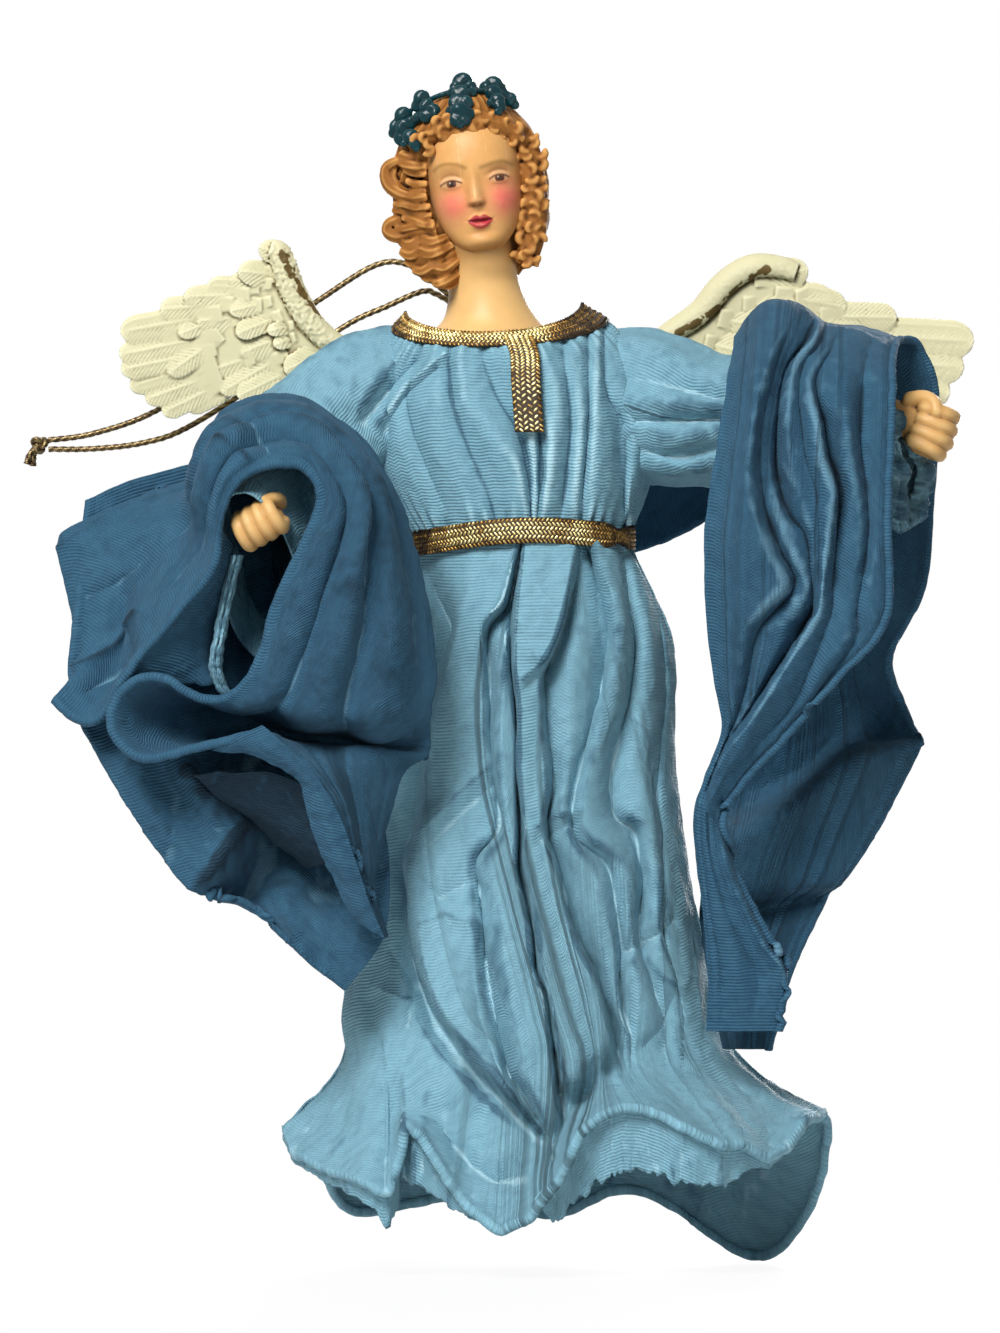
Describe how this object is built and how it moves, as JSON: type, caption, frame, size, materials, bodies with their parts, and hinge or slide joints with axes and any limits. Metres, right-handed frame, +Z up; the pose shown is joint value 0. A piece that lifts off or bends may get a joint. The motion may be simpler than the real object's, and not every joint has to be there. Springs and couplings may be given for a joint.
{
  "type": "angel ornament",
  "caption": "Hanging angel with cast head, hands and feathered wings, in a stiffened cloth gown and draped stole with gold braid and a cord loop that swings at its eye.",
  "frame": {"origin": "centre of the wire hanger eye behind the neck, which carries the figure", "axes": "+Z up the figure, -Y out of its front, +X to the viewer's right"},
  "size_m": [0.2029, 0.105, 0.2524],
  "materials": {
    "pulp": "rough",
    "wood": "raw",
    "wire": "drawn",
    "skin_paint": "satin paint on cast resin",
    "hair_paint": "washed paint on cast resin",
    "leaf_gloss": "gloss paint",
    "wing_paint": "ivory paint with a brown wash",
    "gown_cloth": "stiffened cotton",
    "stole_cloth": "stiffened cotton",
    "gold_braid": "metallic thread",
    "metallic_cord": "twisted metallic thread"
  },
  "bodies": {
    "figure": {"torso_core": "pulp", "spine_rod": "wood", "arm_wire": "wire", "head": "skin_paint", "hair": "hair_paint", "leaf_wreath": "leaf_gloss", "gown_bodice": "gown_cloth", "skirt_front": "gown_cloth", "skirt_back": "gown_cloth", "collar_braid": "gold_braid", "belt_braid": "gold_braid", "left_hand": "skin_paint", "right_hand": "skin_paint", "left_sleeve": "gown_cloth", "right_sleeve": "gown_cloth", "left_wing": "wing_paint", "right_wing": "wing_paint", "left_wing_pin": "wire", "right_wing_pin": "wire", "stole_left": "stole_cloth", "stole_right": "stole_cloth", "stole_back": "stole_cloth", "hanger_eye": "wire"},
    "hanging_loop": {"hang_cord_upper": "metallic_cord", "hang_cord_lower": "metallic_cord", "cord_knot": "metallic_cord"}
  },
  "joints": [
    {"name": "loop_swing", "type": "hinge", "parent": "figure", "child": "hanging_loop", "pos_m": [0, 0, 0], "axis": [0, 1, 0], "range_deg": [0, 205]}
  ]
}
